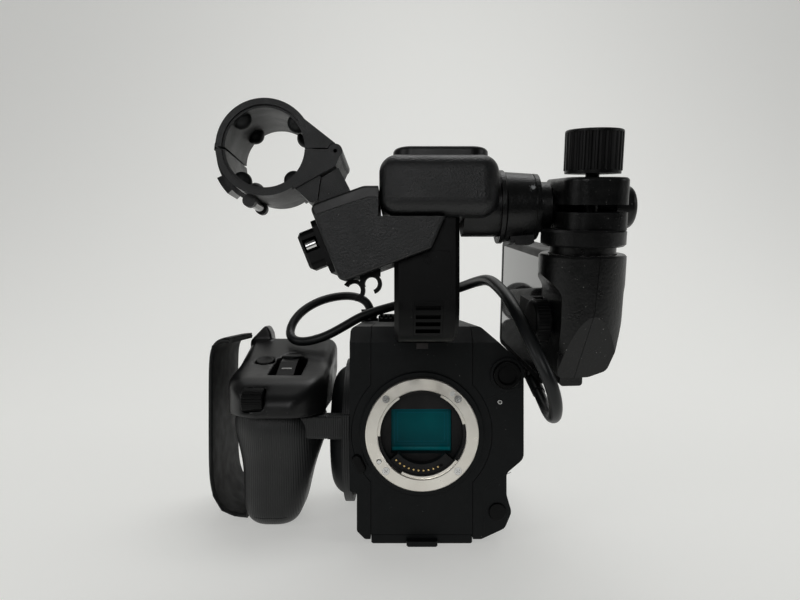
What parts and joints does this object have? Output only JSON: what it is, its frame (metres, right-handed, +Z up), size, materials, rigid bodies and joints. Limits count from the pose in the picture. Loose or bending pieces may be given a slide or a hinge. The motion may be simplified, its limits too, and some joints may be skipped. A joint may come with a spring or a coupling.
{
  "type": "cinema camera rig",
  "caption": "Compact cinema camera body with bare lens mount, top handle with microphone clamp and audio box, swivelling screen on an arm, and side grip with hand strap.",
  "frame": {"origin": "mouth of the small tripod socket in the base, on the camera's middle plane under the lens axis", "axes": "-Y is the way the lens looks; +Z is up; +X is the camera's own left, which is on the right when it is seen from the front"},
  "size_m": [0.2266, 0.2496, 0.2259],
  "materials": {
    "body_black": "fine texture",
    "dark_plastic": "fine texture",
    "satin_black": "satin",
    "gloss_black": "gloss",
    "soft_rubber": "matte",
    "cable_rubber": "satin",
    "mount_metal": "satin",
    "bright_screw": "polished",
    "black_metal": "satin",
    "frame_metal": "satin",
    "chamber_black": "matte",
    "sensor_silicon": "gloss",
    "filter_glass": "clear",
    "contact_gold": "polished",
    "display_glass": "gloss",
    "window_red": "gloss",
    "strap_fabric": "woven"
  },
  "bodies": {
    "camera": {"chassis": "frame_metal", "front_cover": "body_black", "left_cover": "body_black", "right_cover": "body_black", "top_cover": "body_black", "rear_cover": "body_black", "base_plate": "black_metal", "tally_window": "window_red", "lens_mount_ring": "mount_metal", "lens_mount_screws": "bright_screw", "mount_chamber": "chamber_black", "image_sensor": "sensor_silicon", "sensor_glass": "filter_glass", "contact_pins": "contact_gold", "handle_post": "satin_black", "mic_grille": "black_metal", "handle_grip": "dark_plastic", "handle_nose_cap": "satin_black", "accessory_shoe": "black_metal", "xlr_box": "dark_plastic", "xlr_box_lid": "satin_black", "xlr_connector": "dark_plastic", "cable_clip": "gloss_black", "mic_holder_foot": "dark_plastic", "mic_holder_base": "satin_black", "mic_holder_hinge_pin": "black_metal", "mic_pads_lower": "soft_rubber", "rod_sleeve": "black_metal", "grip_mount_hub": "body_black", "lcd_cable": "cable_rubber", "cable_plugs": "cable_rubber"},
    "lens_lock_pin": {"lens_lock_pin": "bright_screw"},
    "lens_release": {"lens_release_button": "dark_plastic"},
    "white_balance_key": {"white_balance_button": "dark_plastic"},
    "filter_dial": {"nd_filter_dial": "dark_plastic"},
    "battery": {"battery_pack": "dark_plastic"},
    "card_door": {"card_door": "body_black"},
    "viewfinder": {"viewfinder_tube": "satin_black", "viewfinder_eyecup": "soft_rubber"},
    "handle_record_key": {"handle_rec_button": "dark_plastic"},
    "handle_rocker": {"handle_zoom_rocker": "dark_plastic"},
    "xlr_latch": {"xlr_release_tab": "bright_screw"},
    "mic_clamp": {"mic_holder_cap": "satin_black", "mic_pads_upper": "soft_rubber"},
    "mic_latch": {"mic_holder_latch": "gloss_black"},
    "rod_lever": {"rod_lock_lever": "satin_black"},
    "rod": {"lcd_rod": "black_metal"},
    "bracket": {"pivot_block": "black_metal"},
    "knob": {"clamp_knob": "black_metal"},
    "arm": {"lcd_arm_left": "satin_black", "lcd_arm_right": "satin_black"},
    "screen": {"lcd_bezel": "dark_plastic", "lcd_screen": "display_glass", "lcd_back_cover": "dark_plastic"},
    "grip": {"grip_shell": "soft_rubber", "grip_head": "dark_plastic", "hand_strap": "strap_fabric"},
    "grip_key": {"grip_assign_button": "dark_plastic"},
    "zoom_lever": {"grip_zoom_lever": "satin_black"},
    "grip_wheel": {"grip_dial": "dark_plastic"}
  },
  "joints": [
    {"name": "release_press", "type": "slide", "parent": "camera", "child": "lens_release", "axis": [0, 1, 0], "range_m": [0, 0.0018], "stiffness_N_per_m": 400},
    {"name": "lock_pin_slide", "type": "slide", "parent": "camera", "child": "lens_lock_pin", "axis": [0, 1, 0], "range_m": [0, 0.0018]},
    {"name": "white_balance_press", "type": "slide", "parent": "camera", "child": "white_balance_key", "axis": [0, 1, 0], "range_m": [0, 0.001], "stiffness_N_per_m": 400},
    {"name": "filter_dial_turn", "type": "hinge", "parent": "camera", "child": "filter_dial", "pos_m": [0.0471, -0.066, 0.0936], "axis": [0, 1, 0], "continuous": true},
    {"name": "battery_slide", "type": "slide", "parent": "camera", "child": "battery", "axis": [0, 1, 0], "range_m": [0, 0.06]},
    {"name": "card_door_turn", "type": "hinge", "parent": "camera", "child": "card_door", "pos_m": [0.0514, 0.05, 0.072], "axis": [0, 0, 1], "range_deg": [-100, 0]},
    {"name": "viewfinder_tilt", "type": "hinge", "parent": "camera", "child": "viewfinder", "pos_m": [0.005, 0.033, 0.1305], "axis": [1, 0, 0], "range_deg": [0, 25]},
    {"name": "handle_record_press", "type": "slide", "parent": "camera", "child": "handle_record_key", "axis": [0, 0, -1], "range_m": [0, 0.001], "stiffness_N_per_m": 400},
    {"name": "handle_rocker_turn", "type": "hinge", "parent": "camera", "child": "handle_rocker", "pos_m": [0, -0.035, 0.1952], "axis": [1, 0, 0], "range_deg": [-5, 5], "stiffness_Nm_per_rad": 0.05},
    {"name": "xlr_latch_press", "type": "slide", "parent": "camera", "child": "xlr_latch", "axis": [0.9278, 0, 0.373], "range_m": [0, 0.0008], "stiffness_N_per_m": 400},
    {"name": "mic_clamp_turn", "type": "hinge", "parent": "camera", "child": "mic_clamp", "pos_m": [-0.0412, -0.109, 0.2021], "axis": [0, 1, 0], "range_deg": [0, 110]},
    {"name": "mic_latch_turn", "type": "hinge", "parent": "camera", "child": "mic_latch", "pos_m": [-0.08151, -0.109, 0.18078], "axis": [0, 1, 0], "range_deg": [-60, 0]},
    {"name": "rod_lever_turn", "type": "hinge", "parent": "camera", "child": "rod_lever", "pos_m": [0.0445, -0.1092, 0.1636], "axis": [1, 0, 0], "range_deg": [0, 35]},
    {"name": "rod_slide", "type": "slide", "parent": "camera", "child": "rod", "axis": [1, 0, 0], "range_m": [0, 0.015], "deforming": ["lcd_cable", "cable_plugs"]},
    {"name": "bracket_turn", "type": "hinge", "parent": "rod", "child": "bracket", "pos_m": [0.07, -0.114, 0.179], "axis": [1, 0, 0], "range_deg": [0, 80], "deforming": ["lcd_cable", "cable_plugs"]},
    {"name": "knob_turn", "type": "hinge", "parent": "bracket", "child": "knob", "pos_m": [0.073, -0.13075, 0.17611], "axis": [0, -0.1702, 0.9854], "continuous": true},
    {"name": "arm_swivel", "type": "hinge", "parent": "bracket", "child": "arm", "pos_m": [0.0702, -0.13075, 0.17611], "axis": [0, -0.1702, 0.9854], "range_deg": [-120, 0], "deforming": ["lcd_cable", "cable_plugs"]},
    {"name": "screen_tilt", "type": "hinge", "parent": "arm", "child": "screen", "pos_m": [0.05602, -0.11999, 0.1255], "axis": [0.9974, 0.0705, 0.0122], "range_deg": [0, 10], "deforming": ["lcd_cable", "cable_plugs"]},
    {"name": "grip_turn", "type": "hinge", "parent": "camera", "child": "grip", "pos_m": [-0.05, 0, 0.05], "axis": [1, 0, 0], "range_deg": [-40, 90], "deforming": ["lcd_cable", "cable_plugs"]},
    {"name": "grip_key_press", "type": "slide", "parent": "grip", "child": "grip_key", "axis": [0, 0.3518, -0.9361], "range_m": [0, 0.001], "stiffness_N_per_m": 400},
    {"name": "zoom_lever_turn", "type": "hinge", "parent": "grip", "child": "zoom_lever", "pos_m": [-0.0815, -0.01, 0.095], "axis": [0, 0, 1], "range_deg": [-8, 8], "stiffness_Nm_per_rad": 0.05},
    {"name": "grip_wheel_turn", "type": "hinge", "parent": "grip", "child": "grip_wheel", "pos_m": [-0.0957, -0.0555, 0.078], "axis": [1, 0, 0], "continuous": true}
  ],
  "couplings": [
    {"joint": "lock_pin_slide", "follows": "release_press", "ratio": 1}
  ]
}
